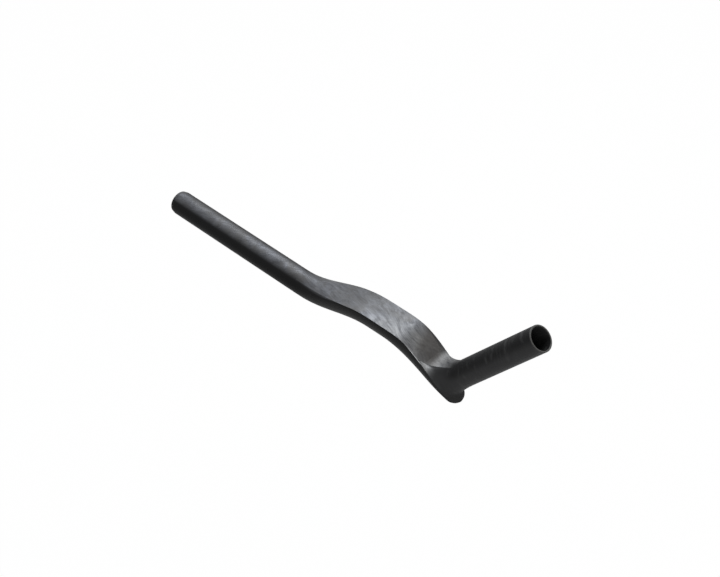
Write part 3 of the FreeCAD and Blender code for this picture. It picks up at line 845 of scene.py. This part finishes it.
    # The metallic share follows the painted sheen and is raised a little on the arm.
    surface = graph.node("ShaderNodeBsdfPrincipled", None, {
        "Base Color": colour, "Metallic": painted_sheen * (lay * 0.25 + arm * 0.18 + 0.60),
        "Roughness": gloss + mottle * 0.08 + (blotch - 0.5) * 0.12 - lay * 0.05,
        "Normal": bump.outputs[0], "Specular IOR Level": COAT_LEVEL})
    graph.node("ShaderNodeOutputMaterial", None, {"Surface": surface.outputs[0]})
    return material


def cut_material():
    """The cut ring of the wall at the grip's mouth: finely ground carbon."""
    material = bpy.data.materials.new("ground_edge")
    graph = bare_graph(material)
    place = graph.scaled(graph.node("ShaderNodeTexCoord").outputs["Object"], MILLIMETRES)
    grain = graph.noise(place, 1.4, 3.0).above(0.4, 4.0)
    surface = graph.node("ShaderNodeBsdfPrincipled", None, {
        "Base Color": graph.mix(grain, (0.020, 0.020, 0.019, 1.0), (0.055, 0.054, 0.050, 1.0)),
        "Roughness": 0.48, "Specular IOR Level": 0.35})
    graph.node("ShaderNodeOutputMaterial", None, {"Surface": surface.outputs[0]})
    return material


class EXTENSION_OT_arm(bpy.types.Operator):
    """Make the flat-topped arm and its lipped foot"""

    bl_idname = "extension.arm"
    bl_label = "Arm"

    def execute(self, context):
        sizes = context.scene.extension_form
        item = add_object("moulded_arm", bpy.data.meshes.new("moulded_arm"))
        finish = carbon_material("clear_coated_arm", resin=1.3, gloss=0.42, rings=False)
        add_modifier(item, arm_tree(), tube_radius=sizes.tube_radius, wall=sizes.wall,
                     shank_length=sizes.shank_length, crest_height=sizes.crest_height,
                     rise_length=sizes.rise_length, strip_width=sizes.strip_width,
                     dish_depth=sizes.dish_depth, lip_radius=sizes.lip_radius, finish=finish)
        plain_mesh(item)
        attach(item, BODY)
        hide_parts(NODE)
        return {"FINISHED"}


class EXTENSION_OT_grip(bpy.types.Operator):
    """Make the round grip, drape its root over the foot, and open the foot under its bore"""

    bl_idname = "extension.grip"
    bl_label = "Grip"

    def execute(self, context):
        sizes = context.scene.extension_form
        arm = bpy.data.objects["moulded_arm"]
        finish = carbon_material("matt_wrapped_grip", resin=MATT_TONE, gloss=0.46, rings=True)
        frame_of_grip = grip_frame(sizes)
        radius = sizes.tube_radius
        mesh = draped_mesh("round_grip", arm, frame_of_grip, radius, DRAPE_COLUMNS)
        item = add_object("round_grip", mesh)
        item.data.materials.append(finish)
        inner = radius - sizes.wall
        profile = even((inner, -BORE_LENGTH), (inner, -2.0 * RIM_EDGE), BORE_ROWS)[:-1]
        profile += rounded((inner, -RIM_EDGE), (inner, 0.0), (inner + RIM_EDGE, 0.0))
        profile += rounded((radius - RIM_EDGE, 0.0), (radius, 0.0), (radius, -RIM_EDGE))
        mesh = turned_mesh("grip_lining", profile, TURNED_COLUMNS, frame_of_grip)
        lining = add_object("grip_lining", mesh)
        lining.data.materials.append(finish)
        lining.data.materials.append(cut_material())
        for face in lining.data.polygons:
            face.material_index = 1 if face.index >= TURNED_COLUMNS * (BORE_ROWS + 1) else 0
        self.open_bore(arm, frame_of_grip, inner + 0.5 * sizes.wall)
        for piece in (item, lining):
            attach(piece, BODY)
            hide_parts(NODE)
        return {"FINISHED"}

    @staticmethod
    def open_bore(arm, frame_of_grip, radius):
        """Take away the arm's top where the grip's bore runs through it."""
        inverse = frame_of_grip.inverted()
        mesh = bmesh.new()
        mesh.from_mesh(arm.data)
        inside = []
        for face in mesh.faces:
            spot = inverse @ face.calc_center_median()
            if math.hypot(spot.x, spot.y) < radius and OPEN_FROM < -spot.z < OPEN_TO:
                inside.append(face)
        bmesh.ops.delete(mesh, geom=inside, context="FACES")
        mesh.to_mesh(arm.data)
        mesh.free()


class EXTENSION_OT_shank(bpy.types.Operator):
    """Make the round shank with its tapered, open rear end"""

    bl_idname = "extension.shank"
    bl_label = "Shank"

    def execute(self, context):
        sizes = context.scene.extension_form
        radius = sizes.tube_radius
        nose = radius - sizes.nose_step
        inner = radius - sizes.wall
        length, nose_length = sizes.shank_length, sizes.nose_length
        profile = even((radius, length), (radius, nose_length + NOSE_BEND), SHANK_ROWS)[:-1]
        profile += rounded((radius, nose_length + NOSE_BEND), (radius, nose_length),
                           (radius - NOSE_BEND_STEP, nose_length - NOSE_BEND))
        profile += rounded((nose + REAR_EDGE_STEP, REAR_EDGE), (nose, 0.0), (nose - REAR_EDGE, 0.0))
        profile += rounded((inner + REAR_EDGE, 0.0), (inner, 0.0), (inner, REAR_EDGE))
        profile += even((inner, 2.0 * REAR_EDGE), (inner, length), SHANK_BORE_ROWS)
        turn = Matrix(((1, 0, 0, 0), (0, 0, -1, 0), (0, 1, 0, 0), (0, 0, 0, 1)))
        item = add_object("round_shank", turned_mesh("round_shank", profile, TURNED_COLUMNS, turn))
        item.data.materials.append(bpy.data.materials["clear_coated_arm"])
        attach(item, BODY)
        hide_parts(NODE)
        return {"FINISHED"}


def seen_directly(graph):
    """1 for what the camera sees, straight, mirrored or through glass, and 0 for what gives light."""
    path = graph.node("ShaderNodeLightPath")
    seen = graph.value(path.outputs["Is Camera Ray"])
    for ray in ("Is Glossy Ray", "Is Transmission Ray"):
        seen = seen.math("MAXIMUM", graph.value(path.outputs[ray]))
    return seen


class EXTENSION_OT_studio(bpy.types.Operator):
    """Make the floor, the lights, the world and the camera"""

    bl_idname = "extension.studio"
    bl_label = "Studio"

    def execute(self, context):
        studio = context.scene.extension_studio
        self.add_floor(studio)
        self.set_world(context.scene)
        self.add_lamp("top_panel", (0.42, 0.14, 0.98), (0.0, -0.24, 0.0),
                      (0.85, 1.1), 13.0, (0.93, 0.965, 1.0))
        self.add_lamp("foot_panel", (0.76, -0.75, 0.46), (0.0, -0.33, -0.01),
                      (0.3, 0.3), 1.3, (1.0, 0.99, 0.97))
        self.add_camera(context.scene, studio)
        context.scene.view_settings.view_transform = "Standard"
        return {"FINISHED"}

    @staticmethod
    def add_floor(studio):
        mesh = bpy.data.meshes.new("floor")
        mesh.from_pydata([(x * FLOOR_HALF, y * FLOOR_HALF, -studio.floor_drop)
                          for x, y in ((-1, -1), (1, -1), (1, 1), (-1, 1))], [], [(0, 1, 2, 3)])
        floor = add_object("floor", mesh)
        material = bpy.data.materials.new("pale_floor")
        graph = bare_graph(material)
        white = graph.node("ShaderNodeEmission", None, {"Color": WHITE, "Strength": 1.0})
        pale = graph.node("ShaderNodeBsdfDiffuse", None, {"Color": (FLOOR_TONE, FLOOR_TONE, FLOOR_TONE, 1.0)})
        both = graph.node("ShaderNodeMixShader", None, {
            0: seen_directly(graph) * FLOOR_WHITE, 1: pale.outputs[0], 2: white.outputs[0]})
        graph.node("ShaderNodeOutputMaterial", None, {"Surface": both.outputs[0]})
        mesh.materials.append(material)

    @staticmethod
    def set_world(scene):
        world = bpy.data.worlds.new("studio")
        scene.world = world
        graph = bare_graph(world)
        fill = graph.node("ShaderNodeBackground", None, {"Color": WHITE, "Strength": WORLD_FILL})
        white = graph.node("ShaderNodeBackground", None, {"Color": WHITE, "Strength": 1.0})
        both = graph.node("ShaderNodeMixShader", None, {
            0: seen_directly(graph), 1: fill.outputs[0], 2: white.outputs[0]})
        graph.node("ShaderNodeOutputWorld", None, {"Surface": both.outputs[0]})

    @staticmethod
    def add_lamp(name, place, target, size, power, colour):
        data = bpy.data.lights.new(name, "AREA")
        data.shape = "RECTANGLE"
        data.size, data.size_y = size
        data.energy = power
        data.color = colour
        lamp = add_object(name, data)
        lamp.location = place
        lamp.rotation_euler = (Vector(target) - Vector(place)).to_track_quat("-Z", "Y").to_euler()

    @staticmethod
    def add_camera(scene, studio):
        data = bpy.data.cameras.new("camera")
        data.lens = studio.camera_lens
        data.sensor_width = 36.0
        data.clip_start, data.clip_end = 0.05, 20.0
        azimuth, elevation, roll = studio.camera_azimuth, studio.camera_elevation, studio.camera_roll
        back = Vector((math.sin(azimuth) * math.cos(elevation),
                       -math.cos(azimuth) * math.cos(elevation), math.sin(elevation)))
        right = Vector((math.cos(azimuth), math.sin(azimuth), 0.0))
        up = back.cross(right)
        turned_right = right * math.cos(roll) + up * math.sin(roll)
        turned_up = up * math.cos(roll) - right * math.sin(roll)
        camera = add_object("camera", data)
        turn = Matrix((turned_right, turned_up, back)).transposed().to_4x4()
        camera.matrix_world = Matrix.Translation(Vector(studio.camera_place)) @ turn
        scene.camera = camera


class EXTENSION_PT_panel(bpy.types.Panel):
    """Lists the pieces of the extension and their sizes"""

    bl_idname = "EXTENSION_PT_panel"
    bl_label = "Handlebar extension"
    bl_space_type = "VIEW_3D"
    bl_region_type = "UI"
    bl_category = "Extension"

    def draw(self, context):
        layout = self.layout
        scene = context.scene
        for kind in PIECES:
            layout.operator(kind.bl_idname)
        for group in (scene.extension_form, scene.extension_finish, scene.extension_studio):
            column = layout.column(align=True)
            for name in group.__annotations__:
                column.prop(group, name)


PIECES = (EXTENSION_OT_arm, EXTENSION_OT_grip, EXTENSION_OT_shank, EXTENSION_OT_studio)
CLASSES = (FormSizes, FinishSizes, StudioSizes, *PIECES, EXTENSION_PT_panel)


def register():
    for kind in CLASSES:
        bpy.utils.register_class(kind)
    bpy.types.Scene.extension_form = bpy.props.PointerProperty(type=FormSizes)
    bpy.types.Scene.extension_finish = bpy.props.PointerProperty(type=FinishSizes)
    bpy.types.Scene.extension_studio = bpy.props.PointerProperty(type=StudioSizes)


def unregister():
    for name in ("extension_form", "extension_finish", "extension_studio"):
        delattr(bpy.types.Scene, name)
    for kind in reversed(CLASSES):
        bpy.utils.unregister_class(kind)


def main():
    register()
    bpy.ops.extension.studio()
    bpy.ops.extension.arm()
    bpy.ops.extension.grip()
    bpy.ops.extension.shank()


if __name__ == "__main__":
    main()
